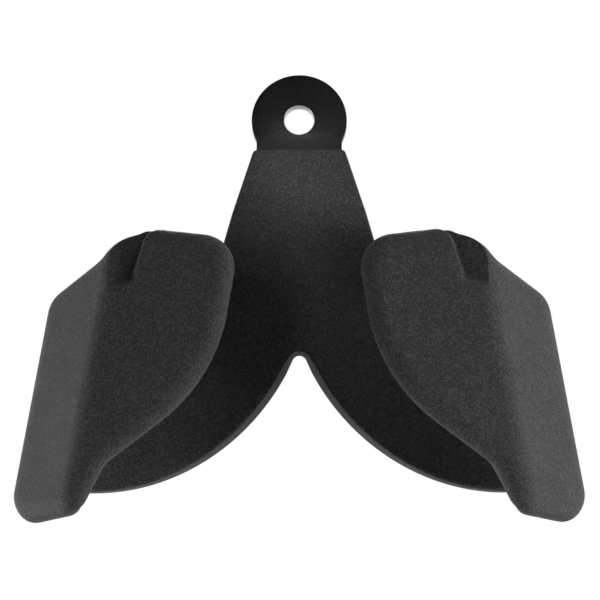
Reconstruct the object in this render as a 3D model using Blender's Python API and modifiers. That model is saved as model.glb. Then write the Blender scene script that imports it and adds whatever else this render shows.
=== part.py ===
"""Cable handle with two folded palm pads, hung from one eye.

A flat steel hanger plate carries the eye. Two formed steel wing plates are butt welded to its tongue and to
each other along the ridge, and one textured urethane cover is moulded over all of it below the neck.

Metres, +Z up along the pull. The origin is the centre of the eye, the eye's plate lies in the XZ plane, and the
palm pads are on the -Y side. Both wings are the same, mirrored in the YZ plane.

A wing is laid out flat first, in sheet coordinates: s runs out from the ridge, t runs down along the bend
lines, and n is the depth through the sheet, positive on the side of the finger gap. fold() then bends it.
"""

import math

import bmesh
import bpy
from mathutils import Matrix, Vector

# Hanger plate
EYE_DIAMETER = 0.016
TAB_RADIUS = 0.0254
PLATE_THICKNESS = 0.006
PLATE_EDGE_ROUND = 0.0006
NECK_HALF_WIDTH = 0.0227
TONGUE_DROP = 0.052

# Where the cover starts and where the two wings part, both below the eye
COVER_DROP = 0.0168
CROTCH_DROP = 0.1271
CROTCH_TIP_RADIUS = 0.0047
BODY_TOP_HALF_WIDTH = 0.0242
BODY_CORNER_RADIUS = 0.0030
BODY_FLARE = math.radians(17.6)

# Fold of a wing, from the ridge outwards: trough, outer limb, side web, crease, palm paddle
BEND_TILT = math.radians(9.0)
TROUGH_RADIUS = 0.169
RIDGE_SLOPE = math.radians(23.9)
RIDGE_ROUND = 0.008
LIMB_START_ANGLE = math.radians(15.0)
LIMB_RADIUS = 0.0174
WEB_ANGLE = math.radians(127.7)
WEB_LENGTH = 0.0403
CREASE_RADIUS = 0.0082
PADDLE_ANGLE = math.radians(171.6)
PADDLE_WIDTH = 0.0565
TROUGH_BLEND_DROP = 0.100

# Heights on the sheet, measured along the bend lines from the crotch
PAD_DROP = 0.1128
PAD_RISE = 0.0395
WEB_RISE = 0.0242
LIMB_RISE = 0.0047
LOBE_DROP = 0.0902

# Thickness of the cover and the rounding of its rim
BODY_THICKNESS = 0.0096
PAD_THICKNESS = 0.014
BODY_EDGE_RADIUS = 0.0014
PAD_EDGE_REACH = 0.0092
RIM_FLAT = 0.0004

# Radii of the outline's corners
LOBE_TOP_RADIUS = 0.0392
LIMB_TOP_RADIUS = 0.0259
WEB_TOP_RADIUS = 0.0293
EAR_OUTER_RADIUS = 0.0139
EAR_INNER_RADIUS = 0.0178
PADDLE_SIDE_RADIUS = 0.0851
TAIL_TOP_RADIUS = 0.0150
TAIL_END_RADIUS = 0.0129
PAD_END_RADIUS = 0.0217
LOBE_END_RADIUS = 0.0438
LOBE_RADIUS = 0.1163

# Places of the outline's corners, as shares across a zone of the sheet and, second, down to the pad's lower end
LIMB_TOP_SHARE = 0.507
WEB_TOP_SHARE = 0.892
EAR_SHARE = 0.16
PADDLE_SIDE_SHARE = 0.296
TAIL_TOP_SHARES = (0.149, 0.728)
TAIL_END_SHARES = (0.965, 0.967)
PAD_END_SHARE = 0.073
LOBE_SHARES = (0.261, 0.839)
TIP_SHARE = 0.652

# Thumb notch at the top outer corner of the pad
NOTCH_EAR_SHARE = 0.158
NOTCH_LENGTH = 0.027
NOTCH_WIDTH = 0.0135
NOTCH_DEPTH = 0.0052
NOTCH_RIM_DEPTH = 0.0095
NOTCH_RAMP = 0.0035
NOTCH_SKEW = 0.0070
NOTCH_LEAN = 0.0028
NOTCH_FOOT_RADIUS = 0.003
NOTCH_HEAD_RADIUS = 0.011
NOTCH_CHAMFER = 0.0008
NOTCH_MOUTH = 0.0024
BACK_DROP = 0.0018
BACK_DROP_RUN = 0.008
BACK_DROP_FADE = 0.020
BACK_DROP_LEVELS = (-0.001, 0.002)

# Steel inside the cover
BODY_MARGIN = 0.006
PAD_MARGIN = 0.010
NOTCH_MARGIN = 0.004
CORE_CORNER_RADIUS = 0.004
WELD_WIDTH = 0.0024
KEY_HOLE_DIAMETER = 0.009

FIT_GAP = 0.0003
OVERRUN = 0.012

ROUND_STEPS = 3
ARC_STEP = math.radians(15.0)
TROUGH_STEPS = 12
BLEND_STEPS = 8
HOLE_SIDES = 16
EYE_SIDES = 40
RIDGE_STEPS = 4
BACK_DROP_STEPS = 3
SMOOTH_ANGLE = math.radians(40.0)
WELD_DISTANCE = 0.00001

# Stations along the sheet, out from the ridge
TROUGH_MIDDLE = TROUGH_RADIUS * math.sin(RIDGE_SLOPE)
TROUGH_END = TROUGH_MIDDLE + TROUGH_RADIUS * math.sin(LIMB_START_ANGLE)
LIMB_END = TROUGH_END + LIMB_RADIUS * (WEB_ANGLE - LIMB_START_ANGLE)
WEB_END = LIMB_END + WEB_LENGTH
CREASE_END = WEB_END + CREASE_RADIUS * (PADDLE_ANGLE - WEB_ANGLE)
SHEET_END = CREASE_END + PADDLE_WIDTH


def main():
    clear_scene()
    parts = new_collection("cable_handle")
    cutters = new_collection("cutters")
    coat = material("black_powder_coat", (0.012, 0.012, 0.013), 0.38, 0.0)
    steel = material("mild_steel", (0.42, 0.42, 0.43), 0.40, 1.0)
    urethane = material("black_urethane", (0.022, 0.022, 0.023), 0.62, 0.0)

    hanger_plate(parts, coat)
    holes = mirrored_cutter(cutters, "key_hole_cutter", key_pins(KEY_HOLE_DIAMETER))
    for name, side in (("left", -1), ("right", 1)):
        wing_plate(parts, steel, name, side, holes)
        tongue_weld(parts, steel, name, side)
    ridge_weld(parts, steel)
    urethane_cover(parts, cutters, urethane)


def clear_scene():
    for obj in list(bpy.data.objects):
        bpy.data.objects.remove(obj, do_unlink=True)


def new_collection(name):
    collection = bpy.data.collections.new(name)
    bpy.context.scene.collection.children.link(collection)
    return collection


def material(name, colour, roughness, metallic):
    made = bpy.data.materials.new(name)
    made.use_nodes = True
    shader = made.node_tree.nodes["Principled BSDF"]
    shader.inputs["Base Color"].default_value = (*colour, 1.0)
    shader.inputs["Roughness"].default_value = roughness
    shader.inputs["Metallic"].default_value = metallic
    return made


def new_object(collection, name, mesh, look=None):
    obj = bpy.data.objects.new(name, mesh)
    collection.objects.link(obj)
    if look:
        mesh.materials.append(look)
    return obj


def mirror(obj):
    """Adds the other half of a shape that is open at the YZ plane, or the other one of a pair."""
    modifier = obj.modifiers.new("Mirror", "MIRROR")
    modifier.merge_threshold = WELD_DISTANCE


def cut(obj, cutter):
    modifier = obj.modifiers.new("Cut " + cutter.name, "BOOLEAN")
    modifier.operation = "DIFFERENCE"
    modifier.solver = "EXACT"
    modifier.object = cutter


def as_cutter(obj):
    obj.hide_render = True
    obj.display_type = "WIRE"
    return obj


# The folded sheet


def on_sheet(x, z):
    """Sheet coordinates of a place seen from the front, inside the trough."""
    rise = z + CROTCH_DROP
    s = x * math.cos(BEND_TILT) + rise * math.sin(BEND_TILT)
    t = x * math.sin(BEND_TILT) - rise * math.cos(BEND_TILT)
    return s, t


def smooth_step(share):
    share = min(max(share, 0.0), 1.0)
    return share * share * (3 - 2 * share)


def trough_depth(across):
    """How far the trough's arc lies behind the ridge at this distance across it."""
    base = TROUGH_RADIUS * math.cos(RIDGE_SLOPE)
    return math.sqrt(TROUGH_RADIUS**2 - (across - TROUGH_MIDDLE) ** 2) - base


def fold_path(s):
    """Distance across and distance forward of the sheet's middle, beyond the trough."""
    across, forward, heading = TROUGH_END, -trough_depth(TROUGH_END), LIMB_START_ANGLE
    left = s - TROUGH_END
    for radius, end in ((LIMB_RADIUS, WEB_ANGLE), (CREASE_RADIUS, PADDLE_ANGLE)):
        turn = min(left / radius, end - heading)
        across += radius * (math.sin(heading + turn) - math.sin(heading))
        forward += radius * (math.cos(heading) - math.cos(heading + turn))
        heading += turn
        left -= radius * turn
        flat = min(left, WEB_LENGTH) if end == WEB_ANGLE else left
        across += flat * math.cos(heading)
        forward += flat * math.sin(heading)
        left -= flat
        if left <= 0:
            break
    return across, forward


def middle(s, t):
    """The point of the sheet's middle surface, on the right wing."""
    across, forward = (s, None) if s <= TROUGH_END else fold_path(s)
    x = across * math.cos(BEND_TILT) + t * math.sin(BEND_TILT)
    z = across * math.sin(BEND_TILT) - t * math.cos(BEND_TILT) - CROTCH_DROP
    if forward is None:
        # The ridge is rounded, and the trough fades out upwards into the flat top of the body.
        soft = x if x >= RIDGE_ROUND else (x * x + RIDGE_ROUND**2) / (2 * RIDGE_ROUND)
        share = smooth_step((-z - TONGUE_DROP) / (TROUGH_BLEND_DROP - TONGUE_DROP))
        forward = -trough_depth(s + (soft - x) * math.cos(BEND_TILT)) * share
    return Vector((x, -forward, z))


def fold(s, t, n=0.0):
    """The place of a point of the flat sheet after bending, on the right wing."""
    step = WELD_DISTANCE
    along = middle(s + step, t) - middle(s - step, t)
    down = middle(s, t + step) - middle(s, t - step)
    return middle(s, t) + down.cross(along).normalized() * n


def thickening(s):
    """0 on the thin body and 1 on the thick pad, changing over the outer limb."""
    return smooth_step((s - TROUGH_MIDDLE) / (LIMB_END - TROUGH_MIDDLE))


def between(low, high, share):
    return low + (high - low) * share


# Flat shapes


def rounded(corners):
    """The points of an outline whose corners, given as (s, t, radius), are rounded by arcs."""
    points = []
    for index, (s, t, radius) in enumerate(corners):
        here = Vector((s, t))
        if radius == 0:
            points.append(here)
            continue
        before = (Vector(corners[index - 1][:2]) - here).normalized()
        after = (Vector(corners[(index + 1) % len(corners)][:2]) - here).normalized()
        turn = math.pi - before.angle(after)
        reach = radius * math.tan(turn / 2)
        centre = here + (before + after).normalized() * math.hypot(radius, reach)
        start, end = here + before * reach - centre, here + after * reach - centre
        steps = max(2, math.ceil(turn / ARC_STEP * max(1.0, math.sqrt(radius / LIMB_RADIUS))))
        for step in range(steps + 1):
            share = step / steps
            spoke = start * math.sin(turn * (1 - share)) + end * math.sin(turn * share)
            points.append(centre + spoke / math.sin(turn))
    return points


def insets(points, closed):
    """For each point of an outline, the vector that moves it inwards by one unit from both its edges."""
    count = len(points)
    area = sum(points[i - 1].cross(points[i]) for i in range(count))
    normals = []
    for i in range(count):
        edge = (points[(i + 1) % count] - points[i]).normalized()
        inward = Vector((-edge.y, edge.x))
        normals.append(inward if area > 0 else -inward)
    moves = []
    for i in range(count):
        first, second = normals[i - 1], normals[i]
        if not closed and i == 0:
            first = second
        if not closed and i == count - 1:
            second = first
        moves.append((first + second) / (1 + first.dot(second)))
    return moves


def flat_slab(points, closed, half_height, edge_reach=None, grow=0.0):
    """A flat plate in sheet coordinates, its rim rounded in as far as edge_reach(s), or square where that is
    None.

    An open outline starts and ends on the ridge line, and its plate is left open there for the mirrored half.
    """
    moves = insets(points, closed)
    # A square rim has an edge at mid-height too, because bending twists its faces.
    levels = [(-1, 0.0), (0, 0.0), (1, 0.0)]
    if edge_reach:
        angles = [math.pi / 2 * k / ROUND_STEPS for k in range(ROUND_STEPS + 1)]
        levels = [(-1, angle) for angle in reversed(angles)] + [(1, angle) for angle in angles]
    flat = bmesh.new()
    rings = []
    for sign, angle in levels:
        ring = []
        for point, move in zip(points, moves):
            reach = edge_reach(point.x) if edge_reach else 0.0
            drop = min(reach, half_height(point.x) - RIM_FLAT / 2)
            place = point + move * (reach * (1 - math.cos(angle)) - grow)
            height = half_height(point.x) - drop * (1 - math.sin(angle))
            ring.append(flat.verts.new((place.x, place.y, sign * height)))
        rings.append(ring)
    last = len(points) if closed else len(points) - 1
    for low, high in zip(rings, rings[1:]):
        for i in range(last):
            after = (i + 1) % len(points)
            flat.faces.new((low[i], low[after], high[after], high[i]))
    flat.faces.new(reversed(rings[0]))
    flat.faces.new(rings[-1])
    return flat


def split(flat, point, normal):
    geometry = flat.verts[:] + flat.edges[:] + flat.faces[:]
    bmesh.ops.bisect_plane(
        flat, geom=geometry, dist=WELD_DISTANCE, plane_co=(*point, 0), plane_no=(*normal, 0)
    )


def split_at_bends(flat):
    """Adds an edge along each line at which the folded sheet changes direction."""
    limb_steps = math.ceil((WEB_ANGLE - LIMB_START_ANGLE) / ARC_STEP)
    crease_steps = math.ceil((PADDLE_ANGLE - WEB_ANGLE) / ARC_STEP) + 1
    bands = (
        (0.0, TROUGH_END, TROUGH_STEPS),
        (TROUGH_END, LIMB_END, limb_steps),
        (WEB_END, CREASE_END, crease_steps),
    )
    for start, end, steps in bands:
        for step in range(steps + 1):
            split(flat, (between(start, end, step / steps), 0), (1, 0))
    tilt = math.cos(BEND_TILT), math.sin(BEND_TILT)
    for step in range(1, RIDGE_STEPS + 1):
        split(flat, on_sheet(RIDGE_ROUND * step / RIDGE_STEPS, -CROTCH_DROP), tilt)
    for step in range(BLEND_STEPS + 1):
        drop = between(TONGUE_DROP, TROUGH_BLEND_DROP, step / BLEND_STEPS)
        split(flat, on_sheet(0, -drop), (-tilt[1], tilt[0]))


def folded_mesh(flat, name, side=1):
    """Bends a flat plate into its place, on the right wing or, with side -1, on the left one."""
    split_at_bends(flat)
    bmesh.ops.triangulate(flat, faces=flat.faces[:])
    for vert in flat.verts:
        place = fold(*vert.co)
        vert.co = (place.x * side, place.y, place.z)
    bmesh.ops.remove_doubles(flat, verts=flat.verts[:], dist=WELD_DISTANCE / 10)
    bmesh.ops.recalc_face_normals(flat, faces=flat.faces[:])
    mesh = bpy.data.meshes.new(name)
    flat.to_mesh(mesh)
    flat.free()
    mesh.shade_smooth()
    mesh.set_sharp_from_angle(angle=SMOOTH_ANGLE)
    return mesh


# Outlines


def cover_corners():
    """The corners (s, t, radius) of the cover's rim, from its top edge round the pad to the crotch."""
    body_side = math.tan(BODY_FLARE) * (CROTCH_DROP - COVER_DROP)
    top = on_sheet(BODY_TOP_HALF_WIDTH, -COVER_DROP)
    low = on_sheet(BODY_TOP_HALF_WIDTH + body_side, -CROTCH_DROP)
    lobe_top_share = (-LIMB_RISE - top[1]) / (low[1] - top[1])
    tip = on_sheet(CROTCH_TIP_RADIUS * TIP_SHARE, -CROTCH_DROP)
    return [
        (*on_sheet(0, -COVER_DROP), 0),
        (*top, BODY_CORNER_RADIUS),
        (between(top[0], low[0], lobe_top_share), -LIMB_RISE, LOBE_TOP_RADIUS),
        (between(TROUGH_END, LIMB_END, LIMB_TOP_SHARE), -LIMB_RISE, LIMB_TOP_RADIUS),
        (between(LIMB_END, WEB_END, WEB_TOP_SHARE), -WEB_RISE, WEB_TOP_RADIUS),
        (between(CREASE_END, SHEET_END, EAR_SHARE), -PAD_RISE, EAR_OUTER_RADIUS),
        (SHEET_END, -PAD_RISE, EAR_INNER_RADIUS),
        (SHEET_END, PAD_DROP * PADDLE_SIDE_SHARE, PADDLE_SIDE_RADIUS),
        (between(CREASE_END, SHEET_END, TAIL_TOP_SHARES[0]), PAD_DROP * TAIL_TOP_SHARES[1], TAIL_TOP_RADIUS),
        (between(WEB_END, CREASE_END, TAIL_END_SHARES[0]), PAD_DROP * TAIL_END_SHARES[1], TAIL_END_RADIUS),
        (between(LIMB_END, WEB_END, PAD_END_SHARE), PAD_DROP, PAD_END_RADIUS),
        (TROUGH_END, LOBE_DROP, LOBE_END_RADIUS),
        (TROUGH_END * LOBE_SHARES[0], LOBE_DROP * LOBE_SHARES[1], LOBE_RADIUS),
        (*tip, CROTCH_TIP_RADIUS),
        (*on_sheet(0, -CROTCH_DROP), 0),
    ]


def moved_in(corners, margins):
    """The same corners after each edge has moved in by its margin, the first one being that after corner 0."""
    places = [Vector(corner[:2]) for corner in corners]
    count = len(places)
    area = sum(places[i - 1].cross(places[i]) for i in range(count))
    inward = []
    for i in range(count):
        edge = (places[(i + 1) % count] - places[i]).normalized()
        inward.append(Vector((-edge.y, edge.x)) * math.copysign(1, area))
    moved = []
    for i, (place, corner) in enumerate(zip(places, corners)):
        first, second = inward[i - 1], inward[i]
        near, far = margins[i - 1], margins[i]
        same = first.dot(second)
        place = place + (first * (near - far * same) + second * (far - near * same)) / (1 - same**2)
        bulge = math.copysign((near + far) / 2, first.cross(second) * area)
        moved.append((*place, max(corner[2] - bulge, CORE_CORNER_RADIUS)))
    return moved


def wing_outline(inner):
    """The rim of the steel wing plate, from its top corner at the ridge, clear of the thumb notch."""
    top = TONGUE_DROP + WELD_WIDTH + 2 * FIT_GAP
    shoulder = BODY_TOP_HALF_WIDTH + math.tan(BODY_FLARE) * (top - COVER_DROP) - BODY_MARGIN
    corners = cover_corners()
    margins = [BODY_MARGIN if corner[0] < TROUGH_MIDDLE else PAD_MARGIN for corner in corners]
    corners = moved_in(corners, margins)
    notch_start = WEB_END - NOTCH_MARGIN
    notch_end = notch_ear() + NOTCH_MARGIN
    notch_low = -PAD_RISE + NOTCH_LENGTH + NOTCH_MARGIN
    crotch = CROTCH_DROP - BODY_MARGIN
    notch = [
        (notch_start, corners[3][1], CORE_CORNER_RADIUS),
        (notch_start, notch_low, CORE_CORNER_RADIUS),
        (notch_end, notch_low, CORE_CORNER_RADIUS),
        (notch_end, corners[6][1], CORE_CORNER_RADIUS),
    ]
    start = [(*on_sheet(inner, -top), 0), (*on_sheet(shoulder, -top), 0)]
    end = [(*corners[13][:2], CORE_CORNER_RADIUS), (*on_sheet(inner, -crotch), 0)]
    return rounded(start + corners[2:3] + notch + corners[6:13] + end)


def half_plate(s):
    return PLATE_THICKNESS / 2


def front_rectangle(x_low, x_high, drop_low, drop_high):
    """The outline of an upright rectangle, seen from the front."""
    places = ((x_low, drop_low), (x_high, drop_low), (x_high, drop_high), (x_low, drop_high))
    return [Vector(on_sheet(x, -drop)) for x, drop in places]


# Steel


def hanger_plate(parts, look):
    """The eye's disc, its straight neck and the tongue that the wings are welded to, from one flat plate."""
    corner = math.sqrt(TAB_RADIUS**2 - NECK_HALF_WIDTH**2)
    start = math.atan2(-corner, NECK_HALF_WIDTH)
    sweep = math.pi - 2 * start
    steps = math.ceil(sweep / ARC_STEP)
    tab = [
        (TAB_RADIUS * math.cos(start + sweep * k / steps), TAB_RADIUS * math.sin(start + sweep * k / steps))
        for k in range(steps + 1)
    ]
    tongue = [(-NECK_HALF_WIDTH, -TONGUE_DROP), (NECK_HALF_WIDTH, -TONGUE_DROP)]
    eye_radius = EYE_DIAMETER / 2
    eye = [
        (eye_radius * math.cos(math.tau * k / EYE_SIDES), eye_radius * math.sin(math.tau * k / EYE_SIDES))
        for k in range(EYE_SIDES)
    ]
    curve = bpy.data.curves.new("hanger_plate", "CURVE")
    curve.dimensions = "2D"
    curve.fill_mode = "BOTH"
    curve.extrude = PLATE_THICKNESS / 2 - PLATE_EDGE_ROUND
    curve.bevel_depth = PLATE_EDGE_ROUND
    curve.bevel_resolution = 1
    curve.offset = -PLATE_EDGE_ROUND
    for outline in (tab + tongue, eye):
        spline = curve.splines.new("POLY")
        spline.points.add(len(outline) - 1)
        for point, (x, z) in zip(spline.points, outline):
            point.co = (x, z, 0, 1)
        spline.use_cyclic_u = True
    obj = new_object(parts, "hanger_plate", curve, look)
    obj.rotation_euler = (math.pi / 2, 0, 0)
    return obj


def wing_plate(parts, look, name, side, holes):
    """A formed steel plate inside one lobe, limb, web and paddle, with holes that key the cover to it."""
    flat = flat_slab(wing_outline(WELD_WIDTH / 2 + FIT_GAP), True, half_plate)
    obj = new_object(parts, "wing_plate_" + name, folded_mesh(flat, "wing_plate_" + name, side), look)
    cut(obj, holes)
    return obj


def tongue_weld(parts, look, name, side):
    """The butt weld between the tongue and one wing plate, ground flush."""
    top = TONGUE_DROP + FIT_GAP
    outline = front_rectangle(WELD_WIDTH / 2 + FIT_GAP, NECK_HALF_WIDTH, top, top + WELD_WIDTH)
    flat = flat_slab(outline, True, half_plate)
    return new_object(parts, "tongue_weld_" + name, folded_mesh(flat, "tongue_weld_" + name, side), look)


def ridge_weld(parts, look):
    """The butt weld between the two wing plates, down the ridge to the crotch."""
    outline = front_rectangle(0, WELD_WIDTH / 2, TONGUE_DROP + FIT_GAP, CROTCH_DROP - BODY_MARGIN)
    flat = flat_slab(outline, False, half_plate)
    obj = new_object(parts, "ridge_weld", folded_mesh(flat, "ridge_weld"), look)
    mirror(obj)
    return obj


# Places of the key holes, as shares: across the sheet's zone, and down from the crotch to the pad's end
TROUGH_KEY_SHARES = ((0.42, 0.30), (0.72, 0.42))
WEB_KEY_SHARES = ((0.45, 0.12), (0.45, 0.62))
PADDLE_KEY_SHARES = ((0.55, -0.12), (0.45, 0.28))


def key_pins(diameter):
    """Round pins through the wing plate, square to the sheet at each key hole."""
    places = [(TROUGH_END * across, PAD_DROP * down) for across, down in TROUGH_KEY_SHARES]
    places += [(between(LIMB_END, WEB_END, across), PAD_DROP * down) for across, down in WEB_KEY_SHARES]
    places += [(between(CREASE_END, SHEET_END, across), PAD_DROP * down) for across, down in PADDLE_KEY_SHARES]
    pins = bmesh.new()
    for s, t in places:
        axis = fold(s, t, PLATE_THICKNESS) - fold(s, t, -PLATE_THICKNESS)
        turn = axis.to_track_quat("Z", "X").to_matrix().to_4x4()
        bmesh.ops.create_cone(
            pins,
            cap_ends=True,
            segments=HOLE_SIDES,
            radius1=diameter / 2,
            radius2=diameter / 2,
            depth=PLATE_THICKNESS * 2,
            matrix=Matrix.Translation(fold(s, t)) @ turn,
        )
    return pins


def mirrored_cutter(cutters, name, shape):
    mesh = bpy.data.meshes.new(name)
    shape.to_mesh(mesh)
    shape.free()
    obj = as_cutter(new_object(cutters, name, mesh))
    mirror(obj)
    return obj


# Urethane


def cover_half_height(s):
    return between(BODY_THICKNESS, PAD_THICKNESS, thickening(s)) / 2


def cover_edge_reach(s):
    return between(BODY_EDGE_RADIUS, PAD_EDGE_REACH, thickening(s))


def urethane_cover(parts, cutters, look):
    """The moulded cover: a solid skin, less the thumb notches and the space that the steel fills."""
    flat = flat_slab(rounded(cover_corners()), False, cover_half_height, cover_edge_reach)
    lower_notch_back(flat)
    obj = new_object(parts, "urethane_cover", folded_mesh(flat, "urethane_cover"), look)
    mirror(obj)
    cut(obj, notch_cutter(cutters))
    cut(obj, tongue_pocket(cutters))
    cut(obj, wing_pocket(cutters))
    return obj


def lower_notch_back(flat):
    """Lowers the back half of the pad's upper rim behind the notch, so that the ear stands above it."""
    outer, inner = WEB_END, notch_ear() + BACK_DROP_RUN
    for start in (outer, inner - BACK_DROP_RUN):
        for step in range(1, BACK_DROP_STEPS + 1):
            split(flat, (start + BACK_DROP_RUN * step / BACK_DROP_STEPS, 0), (1, 0))
    front, back = BACK_DROP_LEVELS
    for vert in flat.verts:
        s, t, n = vert.co
        share = smooth_step((s - outer) / BACK_DROP_RUN) * smooth_step((inner - s) / BACK_DROP_RUN)
        share *= smooth_step(-t / BACK_DROP_FADE) * smooth_step((n - front) / (back - front))
        vert.co.y += BACK_DROP * share


def notch_ear():
    """The station of the ear's side, where the notch is deepest."""
    return between(CREASE_END, SHEET_END, NOTCH_EAR_SHARE)


def notch_corners():
    """The corners (s, t, radius) of the notch on the paddle's plane, from the foot of the ear's side."""
    ear = notch_ear()
    low = -PAD_RISE + NOTCH_LENGTH
    high = -PAD_RISE - OVERRUN
    far = NOTCH_WIDTH + OVERRUN
    return [
        (ear - NOTCH_LEAN, low, NOTCH_FOOT_RADIUS),
        (ear - far, low + NOTCH_SKEW * far / NOTCH_WIDTH, 0),
        (ear - far, high, 0),
        (ear + OVERRUN, high, 0),
        (ear + OVERRUN, -PAD_RISE - NOTCH_MOUTH, 0),
        (ear, -PAD_RISE - NOTCH_MOUTH, NOTCH_HEAD_RADIUS),
    ]


def notch_cutter(cutters):
    """A block whose floor falls from the crease to the ear, and from the ramp at its lower side to the rim. The
    edge that it leaves on the pad's face is chamfered."""
    outer = -PAD_THICKNESS / 2
    corners = notch_corners()
    foot_s, foot_t, _ = corners[0]
    start = fold(foot_s, foot_t, outer)
    along = (fold(SHEET_END, foot_t, outer) - start) / (SHEET_END - foot_s)
    down = (fold(foot_s, 0, outer) - start) / -foot_t
    into = down.cross(along).normalized()
    depth = into * NOTCH_DEPTH
    ear_line = along * (corners[-1][0] - foot_s) + down * (corners[-1][1] - foot_t)
    ear_line += into * (NOTCH_RIM_DEPTH - NOTCH_DEPTH)
    crest = fold(notch_ear() - NOTCH_WIDTH, foot_t - NOTCH_LENGTH / 2, outer)
    normal = ear_line.cross(crest - start - depth)
    # The sides run straight in the mould's draw direction.
    draw = Vector((0, -1, 0))
    points = rounded(corners)
    # Heights over the pad's face, the first below all of the floor, and how far the sides have widened there
    levels = (
        (-2 * OVERRUN, 0.0),
        (-NOTCH_CHAMFER, 0.0),
        (NOTCH_MOUTH - NOTCH_CHAMFER, NOTCH_MOUTH),
        (OVERRUN, NOTCH_MOUTH),
    )
    block = bmesh.new()
    rings = []
    for index, (level, grow) in enumerate(levels):
        ring = []
        for point, move in zip(points, insets(points, True)):
            place = start + along * (point.x - foot_s) + down * (point.y - foot_t)
            floor = normal.dot(start + depth - place) / normal.dot(draw)
            height = max(level, floor + index * FIT_GAP)
            place += draw * height - (along * move.x + down * move.y) * grow
            ramp = smooth_step((point.y - foot_t) / NOTCH_FOOT_RADIUS + 1)
            place += down * ramp * NOTCH_RAMP * (height - floor) / NOTCH_DEPTH
            ring.append(block.verts.new(place))
        rings.append(ring)
    for low, high in zip(rings, rings[1:]):
        for i in range(len(points)):
            block.faces.new((low[i - 1], low[i], high[i], high[i - 1]))
    block.faces.new(reversed(rings[0]))
    block.faces.new(rings[-1])
    if block.calc_volume(signed=True) < 0:
        bmesh.ops.reverse_faces(block, faces=block.faces[:])
    return mirrored_cutter(cutters, "notch_cutter", block)


def tongue_pocket(cutters):
    """The slot for the neck and tongue, open at the cover's top edge."""
    top = COVER_DROP - OVERRUN
    outline = front_rectangle(0, NECK_HALF_WIDTH + FIT_GAP, top, TONGUE_DROP + WELD_WIDTH + 2 * FIT_GAP)
    flat = flat_slab(outline, False, pocket_half_height)
    obj = as_cutter(new_object(cutters, "tongue_pocket", folded_mesh(flat, "tongue_pocket")))
    mirror(obj)
    return obj


def pocket_half_height(s):
    return PLATE_THICKNESS / 2 + FIT_GAP


def wing_pocket(cutters):
    """The space for both wing plates and the ridge weld, with the cover's own plugs left in the key holes."""
    flat = flat_slab(wing_outline(0), False, pocket_half_height, grow=FIT_GAP)
    obj = as_cutter(new_object(cutters, "wing_pocket", folded_mesh(flat, "wing_pocket")))
    mirror(obj)
    cut(obj, mirrored_cutter(cutters, "key_plug_cutter", key_pins(KEY_HOLE_DIAMETER - 2 * FIT_GAP)))
    return obj


main()
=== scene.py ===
"""Looks of the cable handle: a powder coated hanger plate in a pebbled black urethane cover with two palm pads."""

import math

import bmesh
import bpy
import numpy as np
from mathutils import Matrix, Vector

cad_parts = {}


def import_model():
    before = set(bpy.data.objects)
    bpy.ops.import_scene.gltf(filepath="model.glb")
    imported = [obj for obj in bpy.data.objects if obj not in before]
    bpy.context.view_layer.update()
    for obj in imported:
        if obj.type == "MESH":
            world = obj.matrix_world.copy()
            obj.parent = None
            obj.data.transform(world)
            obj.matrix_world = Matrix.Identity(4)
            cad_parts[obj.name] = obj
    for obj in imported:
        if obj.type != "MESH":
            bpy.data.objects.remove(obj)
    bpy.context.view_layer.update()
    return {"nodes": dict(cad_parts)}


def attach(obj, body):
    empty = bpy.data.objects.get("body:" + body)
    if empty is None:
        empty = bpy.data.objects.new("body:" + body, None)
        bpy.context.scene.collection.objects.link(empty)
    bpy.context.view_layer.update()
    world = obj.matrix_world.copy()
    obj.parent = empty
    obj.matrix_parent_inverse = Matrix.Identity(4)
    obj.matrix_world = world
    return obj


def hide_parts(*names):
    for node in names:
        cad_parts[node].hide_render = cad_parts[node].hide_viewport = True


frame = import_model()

# Sizes of the steel and of the folded sheet, the same as in the solid model, in metres
EYE_DIAMETER = 0.016
TAB_RADIUS = 0.0254
PLATE_THICKNESS = 0.006
PLATE_EDGE_ROUND = 0.0006
NECK_HALF_WIDTH = 0.0227
TONGUE_DROP = 0.052
COVER_DROP = 0.0168
CROTCH_DROP = 0.1271
CROTCH_TIP_RADIUS = 0.0047
BODY_TOP_HALF_WIDTH = 0.0242
BODY_CORNER_RADIUS = 0.0030
BODY_FLARE = math.radians(17.6)
BEND_TILT = math.radians(9.0)
TROUGH_RADIUS = 0.169
RIDGE_SLOPE = math.radians(23.9)
RIDGE_ROUND = 0.008
LIMB_START_ANGLE = math.radians(15.0)
LIMB_RADIUS = 0.0174
WEB_ANGLE = math.radians(127.7)
WEB_LENGTH = 0.0403
CREASE_RADIUS = 0.0082
PADDLE_ANGLE = math.radians(171.6)
PADDLE_WIDTH = 0.0565
TROUGH_BLEND_DROP = 0.100
PAD_DROP = 0.1128
PAD_RISE = 0.0395
WEB_RISE = 0.0242
LIMB_RISE = 0.0047
LOBE_DROP = 0.0902
BODY_THICKNESS = 0.0096
PAD_THICKNESS = 0.014
BODY_EDGE_RADIUS = 0.0014
PAD_EDGE_REACH = 0.0092
RIM_FLAT = 0.0004
LOBE_TOP_RADIUS = 0.0392
LIMB_TOP_RADIUS = 0.0259
WEB_TOP_RADIUS = 0.0293
EAR_OUTER_RADIUS = 0.0139
EAR_INNER_RADIUS = 0.0178
PADDLE_SIDE_RADIUS = 0.0851
TAIL_TOP_RADIUS = 0.0150
TAIL_END_RADIUS = 0.0129
PAD_END_RADIUS = 0.0217
LOBE_END_RADIUS = 0.0438
LOBE_RADIUS = 0.1163
LIMB_TOP_SHARE = 0.507
WEB_TOP_SHARE = 0.892
EAR_SHARE = 0.16
PADDLE_SIDE_SHARE = 0.296
TAIL_TOP_SHARES = (0.149, 0.728)
TAIL_END_SHARES = (0.965, 0.967)
PAD_END_SHARE = 0.073
LOBE_SHARES = (0.261, 0.839)
TIP_SHARE = 0.652
NOTCH_EAR_SHARE = 0.158
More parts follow.
